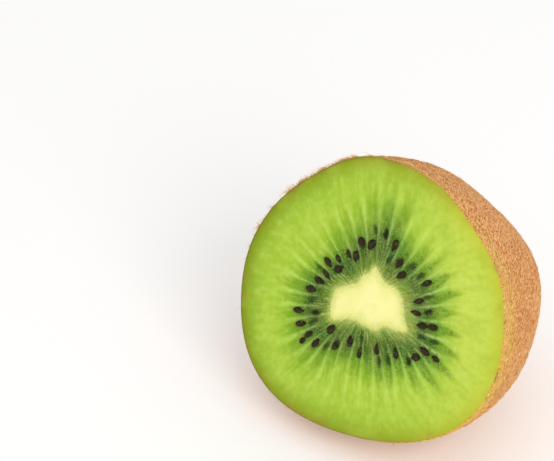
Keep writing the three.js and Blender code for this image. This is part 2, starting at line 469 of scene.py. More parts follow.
def around_seed(x, y, place, heading, length, width):
    """How far points lie outside a seed's outline, below zero inside it."""
    along_x, along_y = turned_by(heading)
    along = (x - place[0]) * along_x + (y - place[1]) * along_y
    aside = (y - place[1]) * along_x - (x - place[0]) * along_y
    reach = np.hypot(along / (length / 2), aside / (width / 2))
    return (reach - 1) * width / 2


def from_outline(across, up):
    """How far points lie from the core's outline, from its centre as the origin. The outline is
    taken as one mark for each degree, and the points in a few parcels, to save memory."""
    angle = np.radians(np.arange(360))
    marks = core_radius(angle) * np.exp(1j * angle)
    parcels = np.array_split((across + 1j * up).ravel(), 50)
    gaps = [np.abs(places[:, None] - marks).min(1) for places in parcels]
    return np.concatenate(gaps).reshape(across.shape)


def locule_at(angle, radius):
    """The locule that points are in, how far across it they lie as a share, and how wide it is
    there in mm."""
    walls = walls_at(radius)
    angle = (angle - walls[..., 0]) % FULL_TURN + walls[..., 0]
    cell = np.clip((angle[..., None] >= walls).sum(-1) - 1, 0, len(LOCULES) - 1)
    start = np.take_along_axis(walls, cell[..., None], -1)[..., 0]
    stop = np.take_along_axis(walls, cell[..., None] + 1, -1)[..., 0]
    return cell, (angle - start) / (stop - start), (stop - start) * radius / MM


def seed_marks(x, y):
    """How much of a buried seed's shadow, of the painted shade round a seed that shows, and of its
    socket points have. Shadow and painted shade are ragged by about 0.1 mm."""
    ragged = 0.12 * rough(np.stack([x, y, 0 * x], -1), 0.5 * MM, 2, 8)
    shadow, seed_rim_shade, socket = np.zeros((3, *x.shape))
    for kind, place, heading in seed_list():
        buried = kind in BURIED_KINDS
        length, width, dark = BURIED_KINDS[kind] if buried else SEED_KINDS[kind]
        gap = around_seed(x, y, place, heading, length, width) / MM
        if buried:
            shadow = np.maximum(shadow, dark * (1 - smooth(gap + 1.5 * ragged, -0.2, 0.25)))
        else:
            seed_rim_shade = np.maximum(seed_rim_shade, 1 - smooth(gap + 2 * ragged, -0.1, 0.4))
            socket = np.maximum(socket, 1 - smooth(gap, -0.1, 0.35))
    return shadow, seed_rim_shade, socket


def cut_facts(x, y):
    """What the flesh is at points on the cut. All distances in mm.

    spoke is how far out a place is from the core's edge. Past SPOKE_START it is drawn out or in, so
    that the deep green of every cell ends at SPOKE_GREEN."""
    across, up = x - CORE_X, y - CORE_Y
    angle, radius = np.arctan2(up, across), np.hypot(across, up)
    core_edge = core_radius(angle)
    outward = (radius - core_edge) / MM
    from_core = np.sign(outward) * from_outline(across, up) / MM
    round_fruit = np.arctan2(y, x)
    to_skin = (CUT_RADIUS * cut_share(round_fruit) - SKIN_THICKNESS - np.hypot(x, y)) / MM

    cell, share, cell_width = locule_at(angle, radius)
    to_wall = np.minimum(share, 1 - share)

    # The spoke's marks run smoothly over the wall from one cell to the other.
    reaches = np.array([row[3] for row in LOCULES])
    other = np.where(share > 0.5, cell + 1, cell - 1) % len(LOCULES)
    reach = reaches[cell] + (reaches[other] - reaches[cell]) * (0.5 - to_wall)
    green = np.maximum(reach - core_edge / MM - SPOKE_START, 2)
    drawn = SPOKE_START + (outward - SPOKE_START) * (SPOKE_GREEN - SPOKE_START) / green
    spoke = from_core + (drawn - from_core) * smooth(from_core, 1, 3.5)

    # Walls widen from 0.15 to 0.4 mm on their way out, and end 19 mm out.
    out_mm = radius / MM
    nearest = (cell + (share > 0.5)) % len(LOCULES)
    brightness = np.array([row[2] for row in LOCULES])[nearest]
    wall_width = 0.15 + 0.25 * smooth(out_mm, 10, 18)
    wall_fade = smooth(from_core, 0.8, 4.5) * (1 - smooth(out_mm, 15, 19))
    wall = bell(to_wall * cell_width, wall_width) * (0.3 + 0.7 * brightness) * wall_fade

    # cell_share is 0 in a cell's walls and 1 in its middle. The cells narrow outwards, on the
    # tapering side to a point.
    # Painted light: sunny says where the flesh is painted yellow by the lamp's light from the right.
    sunny = beside(round_fruit, SUNNY_SIDE)
    tapering = beside(round_fruit, TAPERING_SIDE)
    wedge = np.maximum(0.12 + 0.035 * (spoke - 4.7), 0)
    narrowed = tapering * wedge + (1 - tapering) * 0.06 * smooth(spoke, 2.5, 9)
    cell_share = smooth((to_wall - narrowed + 0.08 * tapering) / (0.24 - 0.04 * tapering), 0, 1)

    # Juicy pulp reaches 9.5 mm along the spoke, and 4 mm further in cells on the tapering side.
    juicy_to = 9.5 + 4 * tapering * cell_share
    # Painted light: lit says how much of the lamp's light, from the right and from above, is painted
    # on the rim.
    off_sun = turned_off(round_fruit, SUN_DIRECTION)
    glowing = 1 - smooth(np.abs(off_sun), math.radians(30), math.radians(75))
    top_light = beside(round_fruit, TOP_LIT_SIDE)
    shadow, seed_rim_shade, socket = seed_marks(x, y)
    turn = (cell + share) * FULL_TURN / len(LOCULES)
    return {
        "from_core": from_core,
        "to_skin": to_skin,
        "spoke": spoke,
        "cell": cell_share,
        "wall": wall,
        "shadow": shadow,
        "seed_rim_shade": seed_rim_shade,
        "juicy": smooth(from_core, -0.4, 0.6) * (1 - smooth(spoke, juicy_to - 3.5, juicy_to)),
        "socket": socket,
        "fibres": np.stack([FIBRES * np.cos(turn), FIBRES * np.sin(turn), spoke / 3], -1),
        "sunny": sunny,
        "tapering": tapering,
        "lit": 0.6 * glowing + 0.4 * (0.5 + 0.5 * np.cos(off_sun)) + 0.2 * top_light,
    }


def cut_relief(x, y, facts):
    """How far the cut stands out of its plane: raised walls, slack cells, sockets and the edge."""
    flat = np.stack([x, y, 0 * x], -1)
    pulp = smooth(facts["from_core"], 0.3, 1.5) * (1 - smooth(facts["spoke"], 8, 12))
    grain = (0.4 + pulp) * rough(flat, 0.9 * MM, 3, 2)
    inside = np.maximum(facts["to_skin"], 0)
    height = (
        (WAVES * rough(flat, 6 * MM, 2, 1) + GRAIN * grain) * (1 - np.exp(-inside / 0.8))
        + WALL_RIDGE * facts["wall"]
        - CELL_HOLLOW * facts["cell"] * pulp
        - SOCKET_HOLLOW * facts["socket"]
    )
    return height * MM - EDGE_DROP * np.exp(-inside / 0.25)


# ---------------- making pieces


def rolled_piece(name, points, paints):
    """A closed piece rolled from a flat grid. points holds a row for each ring, from pole to pole,
    and its last column repeats the first. paints holds values in the same layout."""
    rings, columns = points.shape[:2]
    bpy.ops.object.select_all(action="DESELECT")
    bpy.ops.mesh.primitive_grid_add(x_subdivisions=columns - 1, y_subdivisions=rings - 1, size=1)
    piece = bpy.context.object
    piece.name = piece.data.name = name
    flat = coordinates(piece)
    column = np.rint((flat[:, 0] + 0.5) * (columns - 1)).astype(int)
    ring = np.rint((flat[:, 1] + 0.5) * (rings - 1)).astype(int)
    set_coordinates(piece, points[ring, column])
    for key, values in paints.items():
        paint(piece, key, values[ring, column])
    close_up(piece)
    return piece


def close_up(piece):
    """Merges the seam and the poles, turns the faces outwards and shades them smooth."""
    bpy.ops.object.mode_set(mode="EDIT")
    bpy.ops.mesh.select_all(action="SELECT")
    bpy.ops.mesh.remove_doubles(threshold=1e-7)
    bpy.ops.mesh.normals_make_consistent(inside=False)
    bpy.ops.object.mode_set(mode="OBJECT")
    bpy.ops.object.shade_smooth()


def column_angles(columns):
    angles = np.linspace(0, FULL_TURN, columns + 1)
    angles[-1] = 0
    return angles[None, :]


def finish_piece(piece, material, slot, *nodes):
    """Gives a piece its material, and lets it ride on the part and stand for its CAD nodes."""
    piece.data.materials.clear()
    piece.data.materials.append(material)
    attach(piece, "root")
    if nodes:
        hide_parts(*nodes)


def pole_to_cut(rings):
    """Turns from a dome's end to just short of the cut, one for each ring."""
    return np.linspace(0, QUARTER_TURN, rings, endpoint=False)[:, None]


def cut_piece(name, side, face, under, lowest):
    """A piece that shows on the cut: up its side, across the cut and down again. The face gets its
    relief, and the piece all the facts that the materials read."""
    points = np.concatenate([side, face, under])
    facts = cut_facts(points[..., 0], points[..., 1])
    on_face = slice(len(side), len(side) + len(face))
    face_facts = {key: values[on_face] for key, values in facts.items()}
    points[on_face, :, 2] += cut_relief(face[..., 0], face[..., 1], face_facts)
    return rolled_piece(name, laid(points, lowest), {key: facts[key] for key in PAINTED_FACTS})


def make_flesh():
    """The green flesh: up the pit's wall, across the cut and down inside the skin."""
    angle = column_angles(FACE_COLUMNS)
    pit = core_side(pole_to_cut(PIT_RINGS), angle)
    inner = core_side(QUARTER_TURN, angle)
    outer = dome(QUARTER_TURN, angle, SKIN_THICKNESS)
    share = np.linspace(0, 1, FACE_RINGS) ** FACE_CROWDING
    face = inner + (outer - inner) * share[:, None, None]
    under = dome(pole_to_cut(FLESH_DOME_RINGS)[::-1], angle, SKIN_THICKNESS, scar_hollow)
    return cut_piece("flesh_half", pit, face, under, SKIN_THICKNESS)


def make_core():
    """The pale core, from its blunt point up its side and in to the middle of the cut."""
    angle = column_angles(FACE_COLUMNS)
    side = core_side(pole_to_cut(PIT_RINGS), angle)
    edge = core_side(QUARTER_TURN, angle)
    middle = np.array([CORE_X, CORE_Y, 0])
    share = np.linspace(0, 1, CORE_FACE_RINGS)
    face = edge + (middle - edge) * share[:, None, None]
    return cut_piece("core_plug", side, face, face[:0], 0)


def skin_outside():
    """The skin's outer points, from the dome's end to just below the rim, with its fine bumps."""
    angle = column_angles(SKIN_COLUMNS)
    rest = np.linspace(1, 0, SKIN_RINGS)[:, None] ** SKIN_CROWDING
    turn = (QUARTER_TURN - SKIN_STOP) * (1 - rest)
    smooth_form = dome(turn, angle, 0)
    bumps = 0.6 * rough(smooth_form, 2.2 * MM, 3, 3) + 0.4 * rough(smooth_form, 0.8 * MM, 2, 4)
    return dome(turn, angle, -SKIN_BUMP * bumps)


def make_skin():
    """The thin peel: its outside, its cut edge and its inside against the flesh. Its outer points
    are given back too, for the hairs to grow on."""
    angle = column_angles(SKIN_COLUMNS)
    outside = skin_outside()
    inside = []
    for inset, drop in SKIN_EDGE:
        ring = dome(QUARTER_TURN, angle, inset * MM)
        ring[..., 2] -= drop * MM
        inside.append(ring)
    inside.append(dome(pole_to_cut(LINING_RINGS)[::-1], angle, SKIN_THICKNESS, scar_hollow))
    inside = np.concatenate(inside)
    points = np.concatenate([outside, inside])
    facts = {
        "below_cut": -points[..., 2] / MM,
        "off_scar": np.linalg.norm(points - points[0, 0], axis=-1) / MM,
        "golden": golden_light(points),
        "nap": lie_of_hairs(points),
        "worn": beside(np.arctan2(points[..., 1], points[..., 0]), WORN_SIDE),
    }
    placed = np.concatenate([laid(outside, 0), laid(inside, SKIN_THICKNESS)])
    return rolled_piece("skin_peel", placed, facts), laid(outside, 0)


def make_scar_lump():
    """The dried, crumpled remains of the flower that sit in the scar's middle."""
    angle = column_angles(SCAR_COLUMNS)
    turn = np.linspace(0, math.pi, SCAR_RINGS)[:, None]
    across, up = turned_by(angle)
    radius = SCAR_LUMP_RADIUS * np.sin(turn)
    height = SCAR_LUMP_HEIGHT * np.cos(turn) + 0 * angle
    ball = np.stack([radius * across, radius * up, height], -1)
    creases = 1 - 2 * np.abs(rough(ball * [1, 1, 0.5], 1.1 * MM, 3, 6))
    folds = 1 + 0.2 * creases + 0.1 * rough(ball, 0.5 * MM, 2, 7)
    end = dome(np.zeros(1), np.zeros(1), 0)
    points = end - ball * folds[..., None]
    # The crease values also go to the material, for painted shade in the creases and light on the
    # crests.
    return rolled_piece("scar_lump", laid(points, 0), {"crease_shading": creases})


def make_seed(length, width, tint):
    """One flat, slightly dented teardrop seed at the origin, its pointed end towards +X."""
    bpy.ops.object.select_all(action="DESELECT")
    bpy.ops.mesh.primitive_uv_sphere_add(
        segments=SEED_SEGMENTS, ring_count=SEED_RINGS, radius=0.5, rotation=(0, QUARTER_TURN, 0)
    )
    seed = bpy.context.object
    bpy.ops.object.transform_apply(rotation=True)
    points = coordinates(seed)
    taper = 1 - SEED_TAPER * smooth(points[:, 0], -0.1, 0.5) * (points[:, 0] + 0.5)
    points[:, 0] += SEED_POINT * smooth(points[:, 0], 0.3, 0.5)
    points[:, 1:] *= taper[:, None]
    # Painted shade: each point's height on the seed, for a coat painted brown on top and almost
    # black at the edge.
    paint(seed, "crown_shading", 2 * points[:, 2])
    paint(seed, "tint", np.full(len(points), tint))
    points *= [length, width, SEED_THICKNESS]
    dents = 1 + SEED_DENTS * rough(points, 0.5 * MM, 2, 20 + 10 * tint)
    set_coordinates(seed, points * dents[:, None])
    bpy.ops.object.shade_smooth()
    return seed


def make_seeds():
    """The seeds that show, each half sunk in its socket, joined to one piece."""
    seeds = []
    dice = np.random.default_rng(8)
    for kind, place, heading in seed_list():
        if kind in BURIED_KINDS:
            continue
        length, width, sunk = SEED_KINDS[kind]
        seed = make_seed(length, width, dice.random())
        lift = Matrix.Translation((place[0], place[1], -sunk))
        seed.data.transform(lift @ Matrix.Rotation(heading, 4, "Z"))
        seeds.append(seed)
    bpy.ops.object.select_all(action="DESELECT")
    for seed in seeds:
        seed.select_set(True)
    bpy.context.view_layer.objects.active = seeds[0]
    bpy.ops.object.join()
    joined = bpy.context.object
    joined.name = joined.data.name = "seeds"
    set_coordinates(joined, laid(coordinates(joined), 0))
    return joined


# ---------------- fuzz


def golden_light(points):
    """How golden skin and hairs are at points of the fruit's own frame: most so beside the rim."""
    round_fruit = np.arctan2(points[..., 1], points[..., 0])
    beside_rim = bell(points[..., 2], 4 * MM)
    return beside_rim * (0.15 + 0.85 * beside(round_fruit, GOLDEN_SIDE))


def lie_of_hairs(points):
    """Coordinates in mm for streaks that slant back from the rim, as the hairs lie. They are drawn
    out along the fruit and wound round it."""
    wound = 0.8 * points[..., 2] / CUT_RADIUS
    across = points[..., 0] * np.cos(wound) - points[..., 1] * np.sin(wound)
    up = points[..., 0] * np.sin(wound) + points[..., 1] * np.cos(wound)
    return np.stack([across, up, 0.36 * points[..., 2]], -1) / MM


# A small step aside, which gives straight hairs a side too.
OFF_LINE = np.array([0.1, 0.07, 0.03]) * MM


def hair_mesh(name, roots, bends, width, tones, bands):
    """Tapered three-sided hairs in one mesh. bends holds each hair's first and second curve vector,
    so that its line is root + share * first + share squared * second. bands is how many rings of
    faces a hair has below its tip."""
    count = len(roots)
    share = np.linspace(0, 1, bands + 2)[:, None]
    first, second = bends[0][:, None], bends[1][:, None]
    line = roots[:, None] + share * first + share**2 * second
    ahead = normalized(bends[0] + bends[1])
    side = normalized(np.cross(ahead, bends[0] + OFF_LINE))
    corner = np.arange(3)[:, None] * FULL_TURN / 3
    ring = np.cos(corner) * side[:, None] + np.sin(corner) * np.cross(side, ahead)[:, None]
    spread = width[:, None, None, None] / 2 * (1 - TIP_THINNING * share[:-1, None]) * ring[:, None]
    body = (line[:, :-1, None] + spread).reshape(count, -1, 3)
    points = np.concatenate([body, line[:, -1:]], 1)
    size = points.shape[1]
    corners = [(k, (k + 1) % 3) for k in range(3)]
    faces = [(2, 1, 0)]
    faces += [(3 * b + k, 3 * b + n, 3 * b + n + 3, 3 * b + k + 3)
              for b in range(bands) for k, n in corners]
    faces += [(3 * bands + k, 3 * bands + n, size - 1) for k, n in corners]
    offsets = np.arange(count)[:, None] * size
    mesh = bpy.data.meshes.new(name)
    points = points.reshape(-1, 3)
    points[:, 2] = np.maximum(points[:, 2], FLOOR_GAP)
    mesh.from_pydata(points, [], sum(((offsets + face).tolist() for face in faces), []))
    piece = bpy.data.objects.new(name, mesh)
    bpy.context.collection.objects.link(piece)
    paint(piece, "tone", np.repeat(tones, size))
    paint(piece, "golden", np.repeat(golden_light((roots - SHIFT) @ TURN), size))
    return piece


def scattered(skin, weight, count, dice):
    """Random places on the skin, given as rows of points, with the normal there and the direction
    away from the rim. weight says how dense each of its cells is."""
    down = skin[:-1, :-1] - skin[1:, :-1]
    across = skin[:-1, 1:] - skin[:-1, :-1]
    normal = np.cross(down, across)
    chance = (np.linalg.norm(normal, axis=-1) * weight).ravel()
    cells = dice.choice(chance.size, count, p=chance / chance.sum())
    row, column = np.divmod(cells, across.shape[1])
    u, v = dice.random((2, count, 1))
    place = skin[:-1, :-1][row, column] - u * down[row, column] + v * across[row, column]
    return place, normalized(normal[row, column]), normalized(down[row, column])


def grow(name, place, normal, ahead, length, width, lift, darkest, bands, dice):
    """One piece of hairs. Each starts at its place, leaves it ahead and up by lift, and curls
    sideways and back down. Their tones run from darkest to 1, the palest."""
    count = len(place)
    span = length * np.exp(dice.normal(0, LENGTH_SPREAD, (count, 1)))
    up = lift * (0.4 + 1.2 * dice.random((count, 1)))
    first = span * (ahead + up * normal)
    curl = dice.normal(0, CURL_SPREAD, (count, 1))
    second = span * (curl * np.cross(normal, ahead) - 0.8 * up * normal)
    thick = width * np.exp(dice.normal(0, WIDTH_SPREAD, count))
    roots = place - ROOT_DEPTH * normal
    tones = darkest + (1 - darkest) * dice.random(count)
    return hair_mesh(name, roots, (first, second), thick, tones, bands)


def laid_hairs(name, skin, weight, count, length, width, bands, seed):
    """Hairs that lie over the skin, most of them slanting back from the rim."""
    dice = np.random.default_rng(seed)
    place, normal, away = scattered(skin, weight, count, dice)
    swing = dice.normal(0.6, 0.9, (count, 1))
    ahead = np.cos(swing) * away + np.sin(swing) * np.cross(normal, away)
    return grow(name, place, normal, ahead, length, width, LAID_LIFT, 0, bands, dice)


def rim_hairs(name, skin, dense, clumps, count, length, spread, lift, seed):
    """Hairs on the last few rings beside the rim, which stand out past it in clumps. dense says
    where round the rim most of them grow, and spread how far the hairs of a clump fan out."""
    dice = np.random.default_rng(seed)
    columns = dice.choice(SKIN_COLUMNS, clumps, p=dense / dense.sum())
    rows = SKIN_RINGS - 2 - dice.integers(0, 4, clumps)
    heading = dice.normal(0, 0.7, (clumps, 1))
    clump = dice.integers(0, clumps, count)
    row, column = rows[clump], columns[clump]
    place = skin[row, column]
    across = normalized(skin[row, column + 1] - place)
    towards_rim = normalized(skin[row + 1, column] - place)
    normal = normalized(np.cross(across, towards_rim))
    normal *= np.sign((normal * (place - SHIFT)).sum(-1, keepdims=True))
    place = place + dice.normal(0, RIM_HAIR_WIDTH, (count, 1)) * across
    swing = heading[clump] + dice.normal(0, spread, (count, 1))
    ahead = np.cos(swing) * towards_rim + np.sin(swing) * across
    return grow(name, place, normal, ahead, length, RIM_HAIR_WIDTH, lift, 0.55, 4, dice)


def make_fuzz(outside):
    """All kinds of hairs on the skin's outer points. None grow where it meets the table, and few
    where it is worn or the rim is clean."""
    round_rim = np.linspace(0, FULL_TURN, SKIN_COLUMNS, endpoint=False)
    off_floor = smooth(outside[:-1, :-1, 2], 0.3 * MM, 1.2 * MM)
    depth = -((outside - SHIFT) @ TURN)[:-1, :-1, 2]
    clean = beside(round_rim, CLEAN_SIDE) * bell(depth, 4 * MM)
    weight = off_floor * (1 - 0.75 * beside(round_rim, WORN_SIDE)) * (1 - clean)
    shoulder = 0.4 * beside(round_rim, FRINGED_SHOULDER)
    dense = {
        "fuzz_tufts": 0.02 + beside(round_rim, TUFTED_SIDE),
        "fuzz_fringe": 0.01 + beside(round_rim, FRINGED_SIDE) + shoulder,
    }
    laid_over = [laid_hairs(name, outside, weight, *row) for name, row in LAID_FUZZ.items()]
    past_rim = [rim_hairs(name, outside, dense[name], *row) for name, row in RIM_FUZZ.items()]
    return laid_over + past_rim


# ---------------- materials


def add(tree, kind, inputs=None, stops=(), **settings):
    """Adds a shader node. inputs maps each socket's identifier to a value, or to the node or the
    socket that feeds it. stops are a colour ramp's positions and colours."""
    node = tree.nodes.new("ShaderNode" + kind)
    for key, value in settings.items():
        setattr(node, key, value)
    for i, (position, colour) in enumerate(stops):
        marks = node.color_ramp.elements
        mark = marks[i] if i < 2 else marks.new(position)
        mark.position = position
        mark.color = linear(colour)
    sockets = {socket.identifier: socket for socket in node.inputs}
    for key, value in (inputs or {}).items():
        if isinstance(value, bpy.types.Node):
            value = next(output for output in value.outputs if output.enabled)
        if isinstance(value, bpy.types.NodeSocket):
            tree.links.new(value, sockets[key])
        else:
            sockets[key].default_value = value
    return node


def new_material(name):
    """An empty material, and its node tree."""
    material = bpy.data.materials.new(name)
    material.use_nodes = True
    material.node_tree.nodes.clear()
    return material, material.node_tree


def painted(tree, names):
    """The facts that are painted on a piece, by name."""
    return {name: add(tree, "Attribute", attribute_name=name).outputs["Fac"] for name in names}


def shown(tree, parts):
    """How much of something shows: its parts multiplied with one another. A part is a number from
    0 to 1, or a value with the mark where it counts 0 and the mark where it counts 1."""
    total = None
    for part in parts:
        if isinstance(part, tuple):
            value, none, full = part
            part = add(tree, "MapRange", {"Value": value, "From Min": none, "From Max": full})
        if total is not None:
            part = add(tree, "Math", {"Value": total, "Value_001": part}, operation="MULTIPLY")
        total = part
    return total


def layered(tree, colour, layers):
    """Lays colours over one another. Each layer is its strength, its colour and the parts that say
    where it shows."""
    for strength, over, *parts in layers:
        share = add(
            tree, "Math", {"Value": shown(tree, parts), "Value_001": strength},
            operation="MULTIPLY", use_clamp=True,
        )
        over = linear(over) if isinstance(over, str) else over
        colour = add(
            tree, "Mix", {"Factor_Float": share, "A_Color": colour, "B_Color": over},
            data_type="RGBA",
        )
    return colour


def stops_between(low, high, colours):
    """Colours at marks in mm, with the marks as shares of the way from low to high."""
    return [((mm - low) / (high - low), colour) for mm, colour in colours]


# Colours outward from the core's edge: mm along the spoke and the colour there, in the middle of a
# locule and beside its wall.
SPOKE_LOW = -4
SPOKE_HIGH = 16
CORE_COLOURS = (
    (-4, "F7F2A6"), (-2.4, "F5F0A4"), (-1.5, "EFEC9C"), (-0.9, "E4E48F"), (-0.4, "D6DA80"),
    (0.1, "B2BF60"),
)
CELL_COLOURS = CORE_COLOURS + (
    (0.5, "84993A"), (1.0, "6A8429"), (1.6, "587422"), (2.6, "48681D"), (3.6, "41601A"),
    (4.6, "43641A"), (5.4, "4F711A"), (6.2, "5C801D"), (7.2, "6B9220"), (8.2, "749C22"),
    (9.4, "79A022"), (10.4, "86AC28"), (11.6, "98BA31"), (14, "A8C73D"),
)
WALL_COLOURS = CORE_COLOURS + (
    (0.5, "879D3A"), (1.0, "6C862A"), (1.6, "56721F"), (2.6, "4A681B"), (3.6, "4A691D"),
    (4.6, "507021"), (5.4, "597B23"), (6.2, "668A28"), (7.2, "749C29"), (8.2, "82AA2D"),
    (9.4, "8EB330"), (10.4, "9ABD36"), (11.6, "A7C840"), (14, "ABCA42"),
)

# Colours inward from the skin: mm from it and the colour there, on the shaded and the sunny side.
# The olive rim is the flesh's own; darker on the shaded side it is painted shade, yellow on the
# sunny side painted light.
SHADED_RIM = (
    (0.0, "7C8A1A"), (0.5, "82951C"), (1.4, "8AA523"), (3.2, "94B62F"), (5.5, "A2C13B"),
)
SUNNY_RIM = (
    (0.0, "C0B83A"), (0.5, "BEC43B"), (1.6, "BFCC42"), (3.2, "BFD048"), (5.5, "BCD04C"),
)
RIM_DEPTH = 5.5

# The walls go from whitish near the core to yellow-green further out, in mm along the spoke.
WALL_LOW = 2
WALL_HIGH = 13
BARE_WALL = ((2, "95AE6C"), (5, "A9C577"), (8, "B9D76C"), (13, "C8E06A"))


def cut_colour(tree):
    """The colour of flesh and core alike, so that one runs into the other without a line."""
    fact = painted(tree, [name for name in PAINTED_FACTS if name != "fibres"])
    fibres = add(tree, "Attribute", attribute_name="fibres").outputs["Vector"]

    # Strands about 2.5 degrees wide run out from the core and make every edge across them ragged.
    strands = add(tree, "TexNoise", {"Vector": fibres, "Scale": 1.0, "Detail": 2.0})
    sway = add(
        tree, "MapRange",
        {"Value": fact["spoke"], "From Min": -1.5, "From Max": 3.0, "To Min": 0.3, "To Max": 4.0},
    )
    uneven = add(tree, "Math", {"Value": strands, "Value_001": 0.5}, operation="SUBTRACT")
    spoke = add(
        tree, "Math", {"Value": uneven, "Value_001": sway, "Value_002": fact["spoke"]},
        operation="MULTIPLY_ADD",
    )

    # Grains 0.3 mm wide shift the edges by about half a millimetre, so they look crumbly.
    place = add(tree, "TexCoord").outputs["Object"]
    grains = add(tree, "TexNoise", {"Vector": place, "Scale": 1 / (0.3 * MM), "Detail": 2.0})
    crumbs = add(tree, "Math", {"Value": grains, "Value_001": 0.5}, operation="SUBTRACT")
    spoke = add(
        tree, "Math", {"Value": crumbs, "Value_001": 1.6, "Value_002": spoke},
        operation="MULTIPLY_ADD",
    )
    out = shown(tree, [(spoke, SPOKE_LOW, SPOKE_HIGH)])
    by_wall, in_cell = (
        add(tree, "ValToRGB", {"Fac": out}, stops=stops_between(SPOKE_LOW, SPOKE_HIGH, colours))
        for colours in (WALL_COLOURS, CELL_COLOURS)
    )
    inward = shown(tree, [(fact["to_skin"], 0, RIM_DEPTH)])
    shaded, sunlit = (
        add(tree, "ValToRGB", {"Fac": inward}, stops=stops_between(0, RIM_DEPTH, colours))
        for colours in (SHADED_RIM, SUNNY_RIM)
    )
    rim = layered(tree, shaded, [(1.0, sunlit, fact["lit"])])
    wall = add(
        tree, "ValToRGB", {"Fac": shown(tree, [(fact["spoke"], WALL_LOW, WALL_HIGH)])},
        stops=stops_between(WALL_LOW, WALL_HIGH, BARE_WALL),
    )
    # Seeds that lie deep in the flesh show dark green through it, those that lie high dark brown.
    buried = add(
        tree, "ValToRGB", {"Fac": fact["shadow"]}, stops=((0.7, "1C340C"), (0.95, "1E200B"))
    )

    # Pale and dark threads show near the core, and soft streaks further out.
    threads = add(tree, "TexNoise", {"Vector": fibres, "Scale": 1.3, "Detail": 1.0})
    past_core = shown(tree, [(fact["spoke"], -0.4, 0.6)])
    inner = shown(tree, [past_core, (fact["spoke"], 6.5, 1.0)])
    outer = shown(tree, [(fact["spoke"], 6.5, 10.5), (fact["to_skin"], 0.5, 3.0)])

    # Patches 4 mm, tints 1.5 mm, pulp 1 mm and gaps in the walls 0.8 mm wide, bruises 2.5 mm wide
    # beside the skin, and specks 0.5 mm apart, in the juicy pulp painted highlights of its wet
    # cells.
    patches, tints, pulp, gaps, bruises = (
        add(tree, "TexNoise", {"Vector": place, "Scale": 1 / (size * MM), "Detail": detail})
        for size, detail in ((4, 3.0), (1.5, 2.0), (1, 3.0), (0.8, 1.0), (2.5, 3.0))
    )
    speck_cells = add(tree, "TexVoronoi", {"Vector": place, "Scale": 1 / (0.5 * MM)})
    some = (speck_cells.outputs["Color"], 0.5, 0.55)
    specks = (speck_cells, 0.24, 0.08)

    # Painted light: on the sunny side the flesh is painted yellow, as the lamp's light shining
    # through it makes it, but not at the green tips of the cells.
    tips = shown(tree, [fact["cell"], fact["tapering"], (fact["spoke"], 14, 10)])
    sunny, juicy, to_skin = fact["sunny"], fact["juicy"], fact["to_skin"]
    return layered(
        tree, by_wall,
        (
            (1.0, in_cell, fact["cell"]),
            (0.7, "CFD95A", sunny, (fact["spoke"], 7.5, 13), (tips, 1, 0.1)),
            # Painted shade and light: the rim, darker olive away from the lamp and yellow towards
            # it.
            (1.0, rim, (fact["spoke"], 5, 11), (to_skin, 5.5, 2)),
            (0.6, "AEBF74", inner, (threads, 0.53, 0.66)),
            (0.5, "2E4A1C", inner, (threads, 0.47, 0.34)),
            (0.2, "C6DD6E", outer, (strands, 0.5, 0.68)),
            (0.18, "8FB234", outer, (strands, 0.5, 0.34)),
            # Painted light: the sunny side is also lighter near the core and in the dark pulp.
            (0.5, "ABAE4C", sunny, past_core, (fact["spoke"], 2.4, 0.8)),
            (0.27, "8E9A5A", sunny, inner),
            (0.4, "3F7D28", juicy, (tints, 0.52, 0.66)),
            (0.4, "5C651C", juicy, (tints, 0.48, 0.34)),
            (0.4, "8FB568", juicy, (grains, 0.54, 0.7)),
            (0.5, "1F3D12", juicy, (grains, 0.46, 0.32)),
            (0.2, "C2DA5E", (patches, 0.5, 0.7)),
            (0.2, "84AE2C", (patches, 0.5, 0.3)),
            (0.16, "C8DF74", outer, (pulp, 0.5, 0.7)),
            (0.16, "88AE2E", outer, (pulp, 0.5, 0.3)),
            (0.42, "A08438", (to_skin, 2.0, 0.2), (bruises, 0.5, 0.66)),
            (0.72, wall, fact["wall"], (gaps, 0.22, 0.52)),
            (0.95, buried, fact["shadow"]),
            # Painted shade: a dark green rim round every seed that shows, as if it shaded the flesh
            # beside it.
            (0.3, "2A420F", fact["seed_rim_shade"]),
            # Painted highlights: pale specks in the juicy pulp, for the sparkle of its wet cells.
            (0.35, "C4DA9C", juicy, some, specks),
            (0.4, "E4E694", past_core, (fact["spoke"], 2.2, 0.6), specks),
        ),
    )


def wet_bump(tree, strength):
    """The cut's fine unevenness, 0.5 mm across."""
    place = add(tree, "TexCoord").outputs["Object"]
    lumps = add(tree, "TexNoise", {"Vector": place, "Scale": 1 / (0.5 * MM), "Detail": 2.0})
    bump = add(tree, "Bump", {"Strength": strength, "Distance": 0.06 * MM, "Height": lumps})
    return bump.outputs["Normal"]


def kiwi_flesh():
    """Ripe kiwi flesh, freshly cut: wet and a little translucent, so light softens inside it."""
    material, tree = new_material("kiwi_flesh_fresh_cut")
    shader = add(
        tree, "BsdfPrincipled",
        {
            "Base Color": cut_colour(tree), "Roughness": 0.4, "Specular IOR Level": 0.1,
            "Normal": wet_bump(tree, 0.5), "Subsurface Weight": 0.15,
            "Subsurface Radius": (1.0, 1.4, 0.4), "Subsurface Scale": 0.6 * MM,
        },
    )
    add(tree, "OutputMaterial", {"Surface": shader})
    return material


def kiwi_core():
    """The firm pale core, freshly cut: denser and drier than the flesh, with a softer shine."""
    material, tree = new_material("kiwi_core_fresh_cut")
    shader = add(
        tree, "BsdfPrincipled",
        {
            "Base Color": cut_colour(tree), "Roughness": 0.5, "Specular IOR Level": 0.1,
            "Normal": wet_bump(tree, 0.25), "Subsurface Weight": 0.15,
            "Subsurface Radius": (1.2, 1.2, 0.6), "Subsurface Scale": 0.6 * MM,
        },
    )
    add(tree, "OutputMaterial", {"Surface": shader})
    return material


